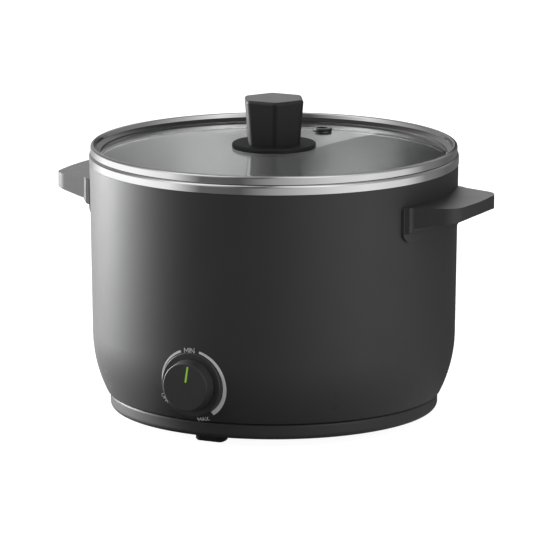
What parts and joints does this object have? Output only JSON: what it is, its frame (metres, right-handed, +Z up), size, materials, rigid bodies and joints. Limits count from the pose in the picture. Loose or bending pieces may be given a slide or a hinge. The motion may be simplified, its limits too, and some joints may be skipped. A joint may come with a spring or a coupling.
{
  "type": "multicooker",
  "caption": "Round electric multicooker: dark drum with a rotary heat dial and ledge handles, removable steel pot, and a lift-off glass lid with a flared knob and steam vent.",
  "frame": {"origin": "on the table under the pot's axis, level with the soles of the feet", "axes": "+Z up along the pot's axis, -Y out of the dial, +X out of the right-hand handle seen from the dial"},
  "size_m": [0.32, 0.2708, 0.2266],
  "materials": {
    "drum_plastic": "satin moulding",
    "base_plastic": "satin moulding",
    "black_plastic": "fine matt moulding",
    "pointer_green": "moulded",
    "foot_rubber": "moulded",
    "silicone": "moulded",
    "pot_steel": "polished",
    "rim_steel": "polished",
    "lid_glass": "toughened",
    "shield_steel": "mill finish",
    "plate_aluminium": "cast and turned",
    "element_steel": "drawn tube",
    "screw_steel": "zinc plated",
    "plated_brass": "plated",
    "inlet_plastic": "moulded",
    "thermostat_moulding": "phenolic moulding",
    "wire_live": "extruded sleeve",
    "wire_neutral": "extruded sleeve",
    "wire_earth": "extruded sleeve"
  },
  "bodies": {
    "base": {"outer_housing": "drum_plastic", "base_tray": "base_plastic", "dial_seat": "black_plastic", "handle_left": "black_plastic", "handle_right": "black_plastic", "rubber_feet": "foot_rubber", "heat_shield": "shield_steel", "sensor_cup": "shield_steel", "plate_posts": "shield_steel", "heating_plate": "plate_aluminium", "thermal_fuse": "plate_aluminium", "heating_element": "element_steel", "sensor_spring": "element_steel", "base_screws": "screw_steel", "handle_screws": "screw_steel", "inlet_screws": "screw_steel", "inlet_pins": "plated_brass", "thermostat_nut": "plated_brass", "power_inlet": "inlet_plastic", "thermostat": "thermostat_moulding", "wire_supply": "wire_live", "wire_switched": "wire_live", "wire_fuse": "wire_live", "wire_return": "wire_neutral", "wire_earth": "wire_earth"},
    "pot": {"inner_pot": "pot_steel"},
    "lid": {"lid_rim": "rim_steel", "lid_glass": "lid_glass", "lid_gasket": "silicone", "lid_knob_base": "black_plastic", "lid_knob": "black_plastic", "lid_knob_washer": "screw_steel", "lid_knob_screw": "screw_steel", "steam_vent": "silicone"},
    "dial": {"control_knob": "black_plastic", "pointer_insert": "pointer_green", "control_shaft": "element_steel"},
    "sensor": {"sensor_cap": "plate_aluminium"}
  },
  "joints": [
    {"name": "pot_lift", "type": "slide", "parent": "base", "child": "pot", "axis": [0, 0, 1], "range_m": [0, 0.14]},
    {"name": "lid_lift", "type": "slide", "parent": "pot", "child": "lid", "axis": [0, 0, 1], "range_m": [0, 0.12]},
    {"name": "dial_turn", "type": "hinge", "parent": "base", "child": "dial", "pos_m": [0, -0.129, 0.0456], "axis": [0, 1, 0], "range_deg": [-122, 150]},
    {"name": "sensor_press", "type": "slide", "parent": "base", "child": "sensor", "axis": [0, 0, 1], "range_m": [-0.0025, 0], "stiffness_N_per_m": 400, "springref_m": 0.004, "deforming": ["sensor_spring"]}
  ]
}
